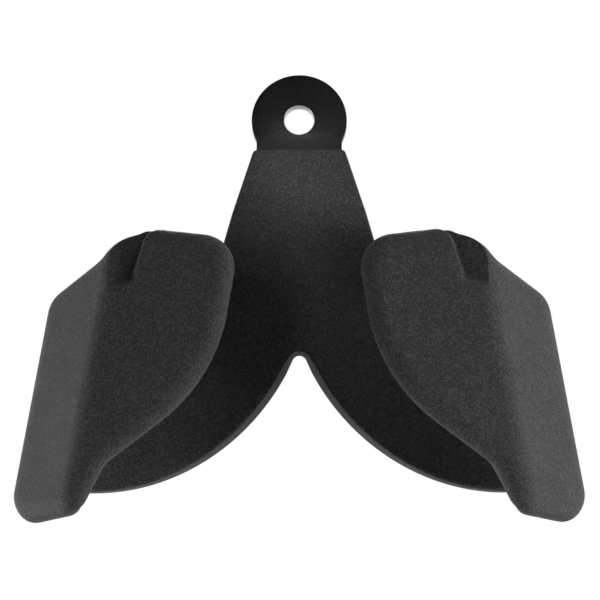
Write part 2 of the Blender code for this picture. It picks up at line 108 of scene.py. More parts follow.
NOTCH_LENGTH = 0.027
NOTCH_WIDTH = 0.0135
NOTCH_DEPTH = 0.0052
NOTCH_RIM_DEPTH = 0.0095
NOTCH_RAMP = 0.0035
NOTCH_SKEW = 0.0080
NOTCH_LEAN = 0.0028
NOTCH_FOOT_RADIUS = 0.003
NOTCH_HEAD_RADIUS = 0.011
NOTCH_MOUTH = 0.0014
BACK_DROP = 0.0009
BACK_DROP_START = 0.0043
BACK_DROP_RUN = 0.009
BACK_DROP_FADE = 0.020
BACK_DROP_LEVELS = (-0.001, 0.002)
BACK_DROP_STEP = 0.005
RIM_SWELL = 0.0015
RIM_SWELL_START = 0.004
RIM_SWELL_REACH = 0.015

TROUGH_MIDDLE = TROUGH_RADIUS * math.sin(RIDGE_SLOPE)
TROUGH_END = TROUGH_MIDDLE + TROUGH_RADIUS * math.sin(LIMB_START_ANGLE)
LIMB_END = TROUGH_END + LIMB_RADIUS * (WEB_ANGLE - LIMB_START_ANGLE)
WEB_END = LIMB_END + WEB_LENGTH
CREASE_END = WEB_END + CREASE_RADIUS * (PADDLE_ANGLE - WEB_ANGLE)
SHEET_END = CREASE_END + PADDLE_WIDTH

# How finely the cover is modelled
PLATE_SIDES = 160
RIM_STEPS = 10
CORNER_STEP = math.radians(4.0)
NOTCH_CUTS = 5
SEAT_CLEARANCE = 0.00003


# Small helpers


def activate(obj):
    """Makes this object the only selected one, in object mode."""
    if bpy.context.mode != "OBJECT":
        bpy.ops.object.mode_set(mode="OBJECT")
    bpy.ops.object.select_all(action="DESELECT")
    obj.select_set(True)
    bpy.context.view_layer.objects.active = obj


def apply_modifiers(obj):
    activate(obj)
    for modifier in list(obj.modifiers):
        bpy.ops.object.modifier_apply(modifier=modifier.name)


def boolean(obj, other, operation):
    """Joins the other shape to this one, or cuts it out, and removes it."""
    modifier = obj.modifiers.new("boolean", "BOOLEAN")
    modifier.operation = operation
    modifier.solver = "EXACT"
    modifier.object = other
    apply_modifiers(obj)
    bpy.data.objects.remove(other, do_unlink=True)


def between(low, high, share):
    return low + (high - low) * share


def smooth_step(share):
    share = np.clip(share, 0.0, 1.0)
    return share * share * (3 - 2 * share)


# The folded sheet: s runs out from the ridge, t down along the bend lines, n through the sheet


def on_sheet(x, z):
    rise = z + CROTCH_DROP
    s = x * math.cos(BEND_TILT) + rise * math.sin(BEND_TILT)
    t = x * math.sin(BEND_TILT) - rise * math.cos(BEND_TILT)
    return s, t


def trough_depth(across):
    base = TROUGH_RADIUS * math.cos(RIDGE_SLOPE)
    return np.sqrt(TROUGH_RADIUS**2 - (across - TROUGH_MIDDLE) ** 2) - base


def fold_path(s):
    """Distance across and distance forward of the sheet's middle, beyond the trough."""
    limb = np.clip(s - TROUGH_END, 0, LIMB_END - TROUGH_END)
    web = np.clip(s - LIMB_END, 0, WEB_LENGTH)
    crease = np.clip(s - WEB_END, 0, CREASE_END - WEB_END)
    paddle = np.maximum(s - CREASE_END, 0)
    limb_end = LIMB_START_ANGLE + limb / LIMB_RADIUS
    crease_end = WEB_ANGLE + crease / CREASE_RADIUS
    across = TROUGH_END + LIMB_RADIUS * (np.sin(limb_end) - math.sin(LIMB_START_ANGLE))
    across += web * math.cos(WEB_ANGLE) + CREASE_RADIUS * (np.sin(crease_end) - math.sin(WEB_ANGLE))
    across += paddle * math.cos(PADDLE_ANGLE)
    forward = -trough_depth(TROUGH_END) + LIMB_RADIUS * (math.cos(LIMB_START_ANGLE) - np.cos(limb_end))
    forward += web * math.sin(WEB_ANGLE) + CREASE_RADIUS * (math.cos(WEB_ANGLE) - np.cos(crease_end))
    forward += paddle * math.sin(PADDLE_ANGLE)
    return across, forward


def middle(s, t):
    """Points of the sheet's middle surface, on the right wing."""
    folded_across, folded_forward = fold_path(s)
    beyond = s > TROUGH_END
    across = np.where(beyond, folded_across, s)
    x = across * math.cos(BEND_TILT) + t * math.sin(BEND_TILT)
    z = across * math.sin(BEND_TILT) - t * math.cos(BEND_TILT) - CROTCH_DROP
    soft = np.where(x >= RIDGE_ROUND, x, (x * x + RIDGE_ROUND**2) / (2 * RIDGE_ROUND))
    share = smooth_step((-z - TONGUE_DROP) / (TROUGH_BLEND_DROP - TONGUE_DROP))
    inside = np.where(beyond, TROUGH_END, s + (soft - x) * math.cos(BEND_TILT))
    forward = np.where(beyond, folded_forward, -trough_depth(inside) * share)
    return np.stack([x, -forward, z], axis=-1)


def fold(s, t, n):
    """The places of points of the flat sheet after bending, on the right wing."""
    step = 0.00001
    along = middle(s + step, t) - middle(s - step, t)
    down = middle(s, t + step) - middle(s, t - step)
    normal = np.cross(down, along)
    normal /= np.linalg.norm(normal, axis=-1, keepdims=True)
    return middle(s, t) + normal * np.asarray(n)[..., None]


def thickening(s):
    """0 on the thin body and 1 on the thick pad, changing over the outer limb."""
    return smooth_step((s - TROUGH_MIDDLE) / (LIMB_END - TROUGH_MIDDLE))


def half_height(s):
    return between(BODY_THICKNESS, PAD_THICKNESS, thickening(s)) / 2


def edge_reach(s):
    return between(BODY_EDGE_RADIUS, PAD_EDGE_REACH, thickening(s))


def cover_corners():
    """The corners (s, t, radius) of the cover's rim, from its top edge round the pad to the crotch."""
    body_side = math.tan(BODY_FLARE) * (CROTCH_DROP - COVER_DROP)
    top = on_sheet(BODY_TOP_HALF_WIDTH, -COVER_DROP)
    low = on_sheet(BODY_TOP_HALF_WIDTH + body_side, -CROTCH_DROP)
    lobe_top_share = (-LIMB_RISE - top[1]) / (low[1] - top[1])
    tip = on_sheet(CROTCH_TIP_RADIUS * TIP_SHARE, -CROTCH_DROP)
    return [
        (*on_sheet(0, -COVER_DROP), 0),
        (*top, BODY_CORNER_RADIUS),
        (between(top[0], low[0], lobe_top_share), -LIMB_RISE, LOBE_TOP_RADIUS),
        (between(TROUGH_END, LIMB_END, LIMB_TOP_SHARE), -LIMB_RISE, LIMB_TOP_RADIUS),
        (between(LIMB_END, WEB_END, WEB_TOP_SHARE), -WEB_RISE, WEB_TOP_RADIUS),
        (between(CREASE_END, SHEET_END, EAR_SHARE), -PAD_RISE, EAR_OUTER_RADIUS),
        (SHEET_END, -PAD_RISE, EAR_INNER_RADIUS),
        (SHEET_END, PAD_DROP * PADDLE_SIDE_SHARE, PADDLE_SIDE_RADIUS),
        (between(CREASE_END, SHEET_END, TAIL_TOP_SHARES[0]), PAD_DROP * TAIL_TOP_SHARES[1], TAIL_TOP_RADIUS),
        (between(WEB_END, CREASE_END, TAIL_END_SHARES[0]), PAD_DROP * TAIL_END_SHARES[1], TAIL_END_RADIUS),
        (between(LIMB_END, WEB_END, PAD_END_SHARE), PAD_DROP, PAD_END_RADIUS),
        (TROUGH_END, LOBE_DROP, LOBE_END_RADIUS),
        (TROUGH_END * LOBE_SHARES[0], LOBE_DROP * LOBE_SHARES[1], LOBE_RADIUS),
        (*tip, CROTCH_TIP_RADIUS),
        (*on_sheet(0, -CROTCH_DROP), 0),
    ]


def rounded(corners):
    """The points of an outline whose corners, given as (s, t, radius), are rounded by arcs."""
    points = []
    for index, (s, t, radius) in enumerate(corners):
        here = Vector((s, t))
        if radius == 0:
            points.append(here)
            continue
        before = (Vector(corners[index - 1][:2]) - here).normalized()
        after = (Vector(corners[(index + 1) % len(corners)][:2]) - here).normalized()
        turn = math.pi - before.angle(after)
        reach = radius * math.tan(turn / 2)
        centre = here + (before + after).normalized() * math.hypot(radius, reach)
        start, end = here + before * reach - centre, here + after * reach - centre
        steps = max(3, math.ceil(turn / CORNER_STEP * max(1.0, math.sqrt(radius / 0.020))))
        for step in range(steps + 1):
            share = step / steps
            spoke = start * math.sin(turn * (1 - share)) + end * math.sin(turn * share)
            points.append(centre + spoke / math.sin(turn))
    return points


def insets(points):
    """For each point of the half outline, the vector that moves it inwards by one unit from both its edges."""
    count = len(points)
    area = sum(points[i - 1].cross(points[i]) for i in range(count))
    normals = []
    for i in range(count):
        edge = (points[(i + 1) % count] - points[i]).normalized()
        normals.append(Vector((-edge.y, edge.x)) * math.copysign(1, area))
    moves = []
    for i in range(count):
        first = normals[i - 1] if i > 0 else normals[i]
        second = normals[i] if i < count - 1 else normals[i - 1]
        moves.append((first + second) / (1 + first.dot(second)))
    return moves


# Urethane cover


def flat_blank():
    """Half of the cover laid out flat, with its bullnose rim, open along the ridge line.

    The rim's reach and height grow from the thin body to the thick pad, so its rings are placed in code.
    """
    points = rounded(cover_corners())
    moves = insets(points)
    angles = [math.pi / 2 * k / RIM_STEPS for k in range(RIM_STEPS + 1)]
    levels = [(-1, angle) for angle in reversed(angles)] + [(1, angle) for angle in angles]
    flat = bmesh.new()
    rings = []
    for sign, angle in levels:
        ring = []
        for point, move in zip(points, moves):
            reach = edge_reach(point.x)
            drop = min(reach, half_height(point.x) - RIM_FLAT / 2)
            place = point + move * reach * (1 - math.cos(angle))
            height = half_height(point.x) - drop * (1 - math.sin(angle))
            ring.append(flat.verts.new((place.x, place.y, sign * height)))
        rings.append(ring)
    for low, high in zip(rings, rings[1:]):
        for i in range(len(points) - 1):
            flat.faces.new((low[i], low[i + 1], high[i + 1], high[i]))
    flat.faces.new(reversed(rings[0]))
    flat.faces.new(rings[-1])
    mesh = bpy.data.meshes.new("urethane_skin")
    flat.to_mesh(mesh)
    flat.free()
    blank = bpy.data.objects.new("urethane_skin", mesh)
    bpy.context.scene.collection.objects.link(blank)
    return blank


def bisect(place, normal):
    bpy.ops.mesh.select_all(action="SELECT")
    bpy.ops.mesh.bisect(plane_co=(*place, 0), plane_no=(*normal, 0))


def bend_lines():
    """Stations at which the flat sheet gets an edge across it, close together where it bends tightly."""
    zones = (
        (0.0, TROUGH_END, 36),
        (TROUGH_END, LIMB_END, 34),
        (LIMB_END, WEB_END, 10),
        (WEB_END, CREASE_END, 16),
        (CREASE_END, SHEET_END, 14),
    )
    return [between(start, end, k / steps) for start, end, steps in zones for k in range(steps)]


def divide_at_bends(blank):
    activate(blank)
    bpy.ops.object.mode_set(mode="EDIT")
    for station in bend_lines():
        bisect((station, 0), (1, 0))
    for row in np.arange(-PAD_RISE, PAD_DROP, 0.006):
        bisect((0, row), (0, 1))
    tilt = math.cos(BEND_TILT), math.sin(BEND_TILT)
    for step in range(1, 9):
        bisect(on_sheet(RIDGE_ROUND * step / 8, -CROTCH_DROP), tilt)
    for drop in np.linspace(TONGUE_DROP, TROUGH_BLEND_DROP, 17):
        bisect(on_sheet(0, -drop), (-tilt[1], tilt[0]))
    bpy.ops.mesh.select_all(action="SELECT")
    bpy.ops.mesh.quads_convert_to_tris()
    divide_notch(blank)
    bpy.ops.object.mode_set(mode="OBJECT")


def divide_notch(blank):
    """Gives the front of the sheet round the thumb notch small faces, so that the notch can be pressed in."""
    mesh = bmesh.from_edit_mesh(blank.data)
    ear = between(CREASE_END, SHEET_END, NOTCH_EAR_SHARE)
    for face in mesh.faces:
        s, t, n = face.calc_center_median()
        face.select = ear - 0.018 < s < ear + 0.010 and t < -PAD_RISE + NOTCH_LENGTH + 0.0135 and n < 0.001
    bmesh.update_edit_mesh(blank.data)
    bpy.ops.mesh.select_mode(type="FACE")
    bpy.ops.mesh.subdivide(number_cuts=NOTCH_CUTS)
    bpy.ops.mesh.select_all(action="SELECT")
    bpy.ops.mesh.quads_convert_to_tris()


def notch_back_drop(s, t, n):
    """How far the back half of the pad's upper rim sinks behind the ear, less what the rim swells at the notch."""
    outer = WEB_END + BACK_DROP_START
    ear = between(CREASE_END, SHEET_END, NOTCH_EAR_SHARE)
    front, back = BACK_DROP_LEVELS
    sunk = smooth_step((s - outer) / BACK_DROP_RUN) * smooth_step((ear - s) / BACK_DROP_RUN + 1)
    sunk *= np.maximum(smooth_step((n - front) / (back - front)), smooth_step((ear - s) / BACK_DROP_STEP))
    swollen = smooth_step(1 - np.abs(s - WEB_END - RIM_SWELL_START) / RIM_SWELL_REACH)
    return (BACK_DROP * sunk - RIM_SWELL * swollen) * smooth_step(-t / BACK_DROP_FADE)


def notch_outline():
    """The rounded outline of the notch's floor, on the paddle's plane, from the foot of the ear's side."""
    ear = between(CREASE_END, SHEET_END, NOTCH_EAR_SHARE)
    low = -PAD_RISE + NOTCH_LENGTH
    far = NOTCH_WIDTH + 0.020
    high = -PAD_RISE - 0.020
    return rounded(
        [
            (ear - NOTCH_LEAN, low, NOTCH_FOOT_RADIUS),
            (ear - far, low + NOTCH_SKEW * far / NOTCH_WIDTH, 0),
            (ear - far, high, 0),
            (ear + 0.020, high, 0),
            (ear + 0.020, -PAD_RISE - NOTCH_MOUTH, 0),
            (ear, -PAD_RISE - NOTCH_MOUTH, NOTCH_HEAD_RADIUS),
        ]
    )


def distance_to_outline(places, outline):
    """Signed distance from each place to a closed outline, negative inside, and the nearest point on it."""
    starts = np.array([tuple(point) for point in outline])
    ends = np.roll(starts, -1, axis=0)
    edges = ends - starts
    offsets = places[:, None, :] - starts[None, :, :]
    share = np.clip((offsets * edges).sum(-1) / (edges**2).sum(-1), 0, 1)
    nearest = starts + share[..., None] * edges
    distances = np.linalg.norm(places[:, None, :] - nearest, axis=-1)
    best = distances.argmin(axis=1)
    rows = np.arange(len(places))
    crosses = (starts[:, 1] > places[:, None, 1]) != (ends[:, 1] > places[:, None, 1])
    with np.errstate(divide="ignore", invalid="ignore"):
        at = starts[:, 0] + (places[:, None, 1] - starts[:, 1]) / edges[:, 1] * edges[:, 0]
    inside = (crosses & (places[:, None, 0] < at)).sum(axis=1) % 2 == 1
    return np.where(inside, -1, 1) * distances[rows, best], nearest[rows, best]


def press_notch(points):
    """Presses the thumb notch into the front of the folded right wing: a sloping floor, a steep rounded wall
    along the ear and a soft ramp at its lower end."""
    outer = -PAD_THICKNESS / 2
    outline = notch_outline()
    ear = between(CREASE_END, SHEET_END, NOTCH_EAR_SHARE)
    foot_s, foot_t = ear - NOTCH_LEAN, -PAD_RISE + NOTCH_LENGTH
    start = fold(foot_s, foot_t, outer)
    along = (fold(SHEET_END, foot_t, outer) - start) / (SHEET_END - foot_s)
    down = (fold(foot_s, 0.0, outer) - start) / -foot_t
    into = np.cross(down, along)
    into /= np.linalg.norm(into)
    depth = into * NOTCH_DEPTH
    ear_line = along * NOTCH_LEAN + down * (-PAD_RISE - foot_t) + into * (NOTCH_RIM_DEPTH - NOTCH_DEPTH)
    crest = fold(ear - NOTCH_WIDTH, foot_t - NOTCH_LENGTH / 2, outer)
    normal = np.cross(ear_line, crest - start - depth)
    draw = np.array((0.0, -1.0, 0.0))
    height = (points - start - depth) @ normal / (normal @ draw)
    near = (points[:, 0] > start[0] - 0.02) & (height > -0.004) & (points[:, 2] > start[2] - 0.02)
    frame_matrix = np.linalg.inv(np.stack([along, down, draw], axis=1))
    flat = (points[near] - start) @ frame_matrix.T
    places = flat[:, :2] + (foot_s, foot_t)
    distance, nearest = distance_to_outline(places, outline)
    ramp = smooth_step((nearest[:, 1] - foot_t) / NOTCH_FOOT_RADIUS + 1)
    lean = between(0.20, NOTCH_RAMP / NOTCH_DEPTH, ramp)
    wall = distance / lean
    wall = (wall + np.sqrt(wall**2 + 0.0012**2)) / 2
    own = height[near]
    blend = 0.0005 + between(0.35, 0.20, ramp) * np.minimum(wall, NOTCH_DEPTH)
    gap = np.maximum(blend - np.abs(own - wall), 0) / blend
    pressed = np.minimum(own, wall) - gap**2 * blend / 4
    pressed = np.where(own < -blend, own, pressed)
    points[near] += draw * (pressed - own)[:, None]


def urethane_cover():
    """The moulded cover, folded from its flat half and mirrored, with the slot that the hanger plate fills."""
    skin = flat_blank()
    divide_at_bends(skin)
    points = np.empty(len(skin.data.vertices) * 3)
    skin.data.vertices.foreach_get("co", points)
    s, t, n = points.reshape(-1, 3).T
    places = fold(s, t + notch_back_drop(s, t, n), n)
    press_notch(places)
    skin.data.vertices.foreach_set("co", places.ravel())
    mirror = skin.modifiers.new("other wing", "MIRROR")
    mirror.merge_threshold = 0.00002
    apply_modifiers(skin)
    bpy.ops.object.mode_set(mode="EDIT")
    bpy.ops.mesh.select_all(action="SELECT")
    bpy.ops.mesh.remove_doubles(threshold=0.000001)
    bpy.ops.mesh.normals_make_consistent(inside=False)
    bpy.ops.object.mode_set(mode="OBJECT")

    depth = TONGUE_DROP - COVER_DROP + 0.004
    bpy.ops.mesh.primitive_cube_add(size=1, location=(0, 0, -COVER_DROP + 0.004 - depth / 2))
    slot = bpy.context.object
    slot.scale = (
        2 * NECK_HALF_WIDTH + 2 * SEAT_CLEARANCE,
        PLATE_THICKNESS + 2 * SEAT_CLEARANCE,
        depth,
    )
    bpy.ops.object.transform_apply(location=True, rotation=True, scale=True)
    boolean(skin, slot, "DIFFERENCE")
    activate(skin)
    bpy.ops.object.shade_smooth_by_angle(angle=math.radians(50))
    return skin


# Hanger plate


def hanger_plate():
    """The eye's disc with its straight neck and tongue: faces drawn out from the eye, then thickened."""
    neck_drop = math.sqrt(TAB_RADIUS**2 - NECK_HALF_WIDTH**2)
    front = (0, PLATE_THICKNESS / 2, 0)
    activate_none()
    bpy.ops.mesh.primitive_circle_add(
        vertices=PLATE_SIDES, radius=EYE_DIAMETER / 2, location=front, rotation=(math.pi / 2, 0, 0)
    )
    plate = bpy.context.object
    plate.name = "hanger_plate_coated"
    bpy.ops.object.transform_apply(location=True, rotation=True, scale=True)
    bpy.ops.object.mode_set(mode="EDIT")
    bpy.ops.mesh.select_mode(type="VERT")
    bpy.ops.mesh.select_all(action="SELECT")
    growth = TAB_RADIUS / (EYE_DIAMETER / 2)
    bpy.ops.mesh.extrude_edges_move()
    bpy.ops.transform.resize(value=(growth, 1, growth), center_override=front)
    bpy.ops.mesh.select_all(action="SELECT")
    bpy.ops.mesh.bisect(plane_co=(0, 0, -neck_drop), plane_no=(0, 0, 1), clear_inner=True)
    bpy.ops.mesh.select_all(action="DESELECT")
    mesh = bmesh.from_edit_mesh(plate.data)
    for vert in mesh.verts:
        vert.select = vert.co.z < -neck_drop + 0.000001
    mesh.select_flush(True)
    bmesh.update_edit_mesh(plate.data)
    bpy.ops.mesh.extrude_edges_move(TRANSFORM_OT_translate={"value": (0, 0, neck_drop - TONGUE_DROP)})
    bpy.ops.mesh.select_all(action="SELECT")
    bpy.ops.mesh.extrude_region_move(TRANSFORM_OT_translate={"value": (0, -PLATE_THICKNESS, 0)})
    bpy.ops.mesh.select_all(action="SELECT")
    bpy.ops.mesh.normals_make_consistent(inside=False)
    bpy.ops.object.mode_set(mode="OBJECT")
    edges = plate.modifiers.new("edge round", "BEVEL")
    edges.width = PLATE_EDGE_ROUND
    edges.segments = 4
    edges.limit_method = "ANGLE"
    edges.angle_limit = math.radians(40)
    apply_modifiers(plate)
    bpy.ops.object.shade_smooth_by_angle(angle=math.radians(40))
    return plate


def activate_none():
    if bpy.context.mode != "OBJECT":
        bpy.ops.object.mode_set(mode="OBJECT")
    bpy.ops.object.select_all(action="DESELECT")


# Materials


def new_material(name):
    material = bpy.data.materials.new(name)
    material.use_nodes = True
    tree = material.node_tree
    return material, tree, tree.nodes["Principled BSDF"]


def add_node(tree, kind, **settings):
    node = tree.nodes.new(kind)
    for name, value in settings.items():
        if name in node.inputs:
            node.inputs[name].default_value = value
        else:
            setattr(node, name, value)
    return node


def pebble_group():
    """Rounded grains with narrow valleys between them and a fine tooth: a height for the bump, and a tone with
    painted shade in the valleys, a painted glint that differs from grain to grain, and the tooth's fine random
    tone.
    """
    group = bpy.data.node_groups.new("moulded_pebble", "ShaderNodeTree")
    for name, kind, default in (
        ("Position", "NodeSocketVector", None),
        ("Grains per metre", "NodeSocketFloat", 900.0),
        ("Tooth", "NodeSocketFloat", 0.3),
    ):
        socket = group.interface.new_socket(name=name, in_out="INPUT", socket_type=kind)
        if default is not None:
            socket.default_value = default
    for name in ("Height", "Tone with painted shade and glint"):
        group.interface.new_socket(name=name, in_out="OUTPUT", socket_type="NodeSocketFloat")
    enter = add_node(group, "NodeGroupInput")
    leave = add_node(group, "NodeGroupOutput")
    warp = add_node(group, "ShaderNodeTexNoise", Scale=450.0, Detail=2.0)
    stretch = add_node(group, "ShaderNodeVectorMath", operation="MULTIPLY_ADD")
    stretch.inputs[1].default_value = (0.0006, 0.0006, 0.0006)
    cells = add_node(group, "ShaderNodeTexVoronoi", feature="F1")
    valleys = add_node(group, "ShaderNodeTexVoronoi", feature="DISTANCE_TO_EDGE")
    tooth = add_node(group, "ShaderNodeTexNoise", Scale=2600.0, Detail=3.0, Roughness=0.6)
    dome = add_node(group, "ShaderNodeMapRange", interpolation_type="SMOOTHSTEP")
    dome.inputs["From Min"].default_value = -0.10
    dome.inputs["From Max"].default_value = 0.42
    grain = add_node(group, "ShaderNodeSeparateColor")
    # Painted glint: each grain gets its own brightness, standing in for the light it catches
    painted_glint = add_node(group, "ShaderNodeMath", operation="MULTIPLY_ADD")
    painted_glint.inputs[1].default_value = 0.85
    painted_glint.inputs[2].default_value = 0.15
    # Painted shade: the tone falls to dark in the valleys between the grains
    painted_valley_shade_and_glint = add_node(group, "ShaderNodeMath", operation="MULTIPLY")
    grain_tone_with_painted_shade = add_node(group, "ShaderNodeMath", operation="MULTIPLY_ADD")
    link = group.links.new
    link(enter.outputs["Position"], warp.inputs["Vector"])
    link(warp.outputs["Color"], stretch.inputs[0])
    link(enter.outputs["Position"], stretch.inputs[2])
    for texture in (cells, valleys):
        link(stretch.outputs["Vector"], texture.inputs["Vector"])
        link(enter.outputs["Grains per metre"], texture.inputs["Scale"])
    link(enter.outputs["Position"], tooth.inputs["Vector"])
    link(valleys.outputs["Distance"], dome.inputs["Value"])
    link(cells.outputs["Color"], grain.inputs["Color"])
    link(grain.outputs["Red"], painted_glint.inputs[0])
    link(dome.outputs["Result"], painted_valley_shade_and_glint.inputs[0])
    link(painted_glint.outputs["Value"], painted_valley_shade_and_glint.inputs[1])
    link(tooth.outputs["Fac"], grain_tone_with_painted_shade.inputs[0])
    link(enter.outputs["Tooth"], grain_tone_with_painted_shade.inputs[1])
    link(painted_valley_shade_and_glint.outputs["Value"], grain_tone_with_painted_shade.inputs[2])
    link(dome.outputs["Result"], leave.inputs["Height"])
    link(grain_tone_with_painted_shade.outputs["Value"], leave.inputs["Tone with painted shade and glint"])
    return group


def tone_group():
    """Slow, faint changes of tone over a surface, as handling and uneven cure leave them."""
    group = bpy.data.node_groups.new("slow_tone", "ShaderNodeTree")
    group.interface.new_socket(name="Position", in_out="INPUT", socket_type="NodeSocketVector")
    patches = group.interface.new_socket(name="Patches per metre", in_out="INPUT", socket_type="NodeSocketFloat")
    patches.default_value = 30.0
    for name in ("Low", "High"):
        group.interface.new_socket(name=name, in_out="INPUT", socket_type="NodeSocketFloat")
    group.interface.new_socket(name="Value", in_out="OUTPUT", socket_type="NodeSocketFloat")
    enter = add_node(group, "NodeGroupInput")
    leave = add_node(group, "NodeGroupOutput")
    cloud = add_node(group, "ShaderNodeTexNoise", Detail=5.0, Roughness=0.55)
    spread = add_node(group, "ShaderNodeMapRange")
    spread.inputs["From Min"].default_value = 0.3
    spread.inputs["From Max"].default_value = 0.7
    link = group.links.new
    link(enter.outputs["Position"], cloud.inputs["Vector"])
    link(enter.outputs["Patches per metre"], cloud.inputs["Scale"])
    link(cloud.outputs["Fac"], spread.inputs["Value"])
    link(enter.outputs["Low"], spread.inputs["To Min"])
    link(enter.outputs["High"], spread.inputs["To Max"])
    link(spread.outputs["Result"], leave.inputs["Value"])
    return group


def place_group(tree, group, position, **values):
    node = tree.nodes.new("ShaderNodeGroup")
    node.node_tree = group
    tree.links.new(position, node.inputs["Position"])
    for name, value in values.items():
        node.inputs[name.replace("_", " ")].default_value = value
    return node


def tinted(tree, shader, dark, light, factor):
    """Base colour between two tones."""
    mix = add_node(tree, "ShaderNodeMix", data_type="RGBA")
    mix.inputs["A"].default_value = (*dark, 1.0)
    mix.inputs["B"].default_value = (*light, 1.0)
    tree.links.new(factor, mix.inputs["Factor"])
    tree.links.new(mix.outputs["Result"], shader.inputs["Base Color"])
    return mix


def black_urethane(pebble, tone):
    material, tree, shader = new_material("pebbled_black_urethane")
    position = add_node(tree, "ShaderNodeTexCoord").outputs["Object"]
    grains = place_group(tree, pebble, position, Grains_per_metre=1150.0, Tooth=0.9)
    shade = place_group(tree, tone, position, Patches_per_metre=28.0, Low=-0.04, High=0.04)
    rough = place_group(tree, tone, position, Patches_per_metre=60.0, Low=0.56, High=0.66)
    # The grains' painted shade and glint, stretched over the colour's range
    painted_grain_light = add_node(tree, "ShaderNodeMapRange")
    painted_grain_light.inputs["From Min"].default_value = 0.31
    painted_grain_light.inputs["From Max"].default_value = 1.15
    tree.links.new(grains.outputs["Tone with painted shade and glint"], painted_grain_light.inputs["Value"])
    painted_grain_light_and_tone = add_node(tree, "ShaderNodeMath", operation="ADD")
    tree.links.new(painted_grain_light.outputs["Result"], painted_grain_light_and_tone.inputs[0])
    tree.links.new(shade.outputs["Value"], painted_grain_light_and_tone.inputs[1])
    # Base colour: painted shade in the grain valleys and painted glints on the grains, plus slow random tone
    tinted(tree, shader, (0.010, 0.010, 0.011), (0.142, 0.141, 0.140), painted_grain_light_and_tone.outputs["Value"])
    bump = add_node(tree, "ShaderNodeBump", Strength=0.9, Distance=0.00020)
    tree.links.new(grains.outputs["Height"], bump.inputs["Height"])
    tree.links.new(bump.outputs["Normal"], shader.inputs["Normal"])
    tree.links.new(rough.outputs["Value"], shader.inputs["Roughness"])
    shader.inputs["Sheen Weight"].default_value = 0.10
    shader.inputs["Sheen Roughness"].default_value = 0.4
    shader.inputs["Specular IOR Level"].default_value = 0.35
    return material


def black_powder_coat(pebble, tone):
    """Satin black coat with a faint orange peel, and the bored steel of the eye where the hooks have rubbed."""
    material, tree, shader = new_material("satin_black_powder_coat")
    position = add_node(tree, "ShaderNodeTexCoord").outputs["Object"]
    parts = add_node(tree, "ShaderNodeSeparateXYZ")
    tree.links.new(position, parts.inputs["Vector"])
    radius = add_node(tree, "ShaderNodeMath", operation="POWER")
    squares = add_node(tree, "ShaderNodeMath", operation="MULTIPLY")
    tree.links.new(parts.outputs["X"], squares.inputs[0])
    tree.links.new(parts.outputs["X"], squares.inputs[1])
    total = add_node(tree, "ShaderNodeMath", operation="MULTIPLY_ADD")
    tree.links.new(parts.outputs["Z"], total.inputs[0])
    tree.links.new(parts.outputs["Z"], total.inputs[1])
    tree.links.new(squares.outputs["Value"], total.inputs[2])
    tree.links.new(total.outputs["Value"], radius.inputs[0])
    radius.inputs[1].default_value = 0.5
    bare = add_node(tree, "ShaderNodeMapRange", interpolation_type="SMOOTHSTEP")
    bare.inputs["From Min"].default_value = EYE_DIAMETER / 2 + 0.00035
    bare.inputs["From Max"].default_value = EYE_DIAMETER / 2 + 0.00012
    tree.links.new(radius.outputs["Value"], bare.inputs["Value"])
    mix = tinted(tree, shader, (0.018, 0.018, 0.019), (0.50, 0.48, 0.47), bare.outputs["Result"])
    peel = add_node(tree, "ShaderNodeTexNoise", Scale=1100.0, Detail=3.0, Roughness=0.6)
    tree.links.new(position, peel.inputs["Vector"])
    powder = add_node(tree, "ShaderNodeMix", data_type="RGBA")
    powder.inputs["A"].default_value = (0.0, 0.0, 0.001, 1.0)
    powder.inputs["B"].default_value = (0.026, 0.026, 0.027, 1.0)
    contrast = add_node(tree, "ShaderNodeMapRange")
    contrast.inputs["From Min"].default_value = 0.32
    contrast.inputs["From Max"].default_value = 0.68
    tree.links.new(peel.outputs["Fac"], contrast.inputs["Value"])
    tree.links.new(contrast.outputs["Result"], powder.inputs["Factor"])
    tree.links.new(powder.outputs["Result"], mix.inputs["A"])
    bump = add_node(tree, "ShaderNodeBump", Strength=0.35, Distance=0.00006)
    tree.links.new(peel.outputs["Fac"], bump.inputs["Height"])
    tree.links.new(bump.outputs["Normal"], shader.inputs["Normal"])
    rough = place_group(tree, tone, position, Patches_per_metre=70.0, Low=0.36, High=0.44)
    tree.links.new(rough.outputs["Value"], shader.inputs["Roughness"])
    tree.links.new(bare.outputs["Result"], shader.inputs["Metallic"])
    return material


def bare_steel(name, tone, direction, low, high):
    """Steel with the faint lines that rolling or a grinding disc leaves in one direction."""
    material, tree, shader = new_material(name)
    coordinates = add_node(tree, "ShaderNodeTexCoord")
    mapping = add_node(tree, "ShaderNodeMapping")
    mapping.inputs["Scale"].default_value = direction
    tree.links.new(coordinates.outputs["Object"], mapping.inputs["Vector"])
    lines = add_node(tree, "ShaderNodeTexNoise", Scale=60.0, Detail=4.0)
    tree.links.new(mapping.outputs["Vector"], lines.inputs["Vector"])
    shade = place_group(tree, tone, coordinates.outputs["Object"], Patches_per_metre=40.0, Low=0.0, High=1.0)
    tinted(tree, shader, low, high, shade.outputs["Value"])
    bump = add_node(tree, "ShaderNodeBump", Strength=0.3, Distance=0.00005)
    tree.links.new(lines.outputs["Fac"], bump.inputs["Height"])
    tree.links.new(bump.outputs["Normal"], shader.inputs["Normal"])
    rough = place_group(tree, tone, coordinates.outputs["Object"], Patches_per_metre=90.0, Low=0.34, High=0.5)
    tree.links.new(rough.outputs["Value"], shader.inputs["Roughness"])
    shader.inputs["Metallic"].default_value = 1.0
    return material


def paint(obj, material):
    obj.data.materials.clear()
    obj.data.materials.append(material)


# Stage, light and camera


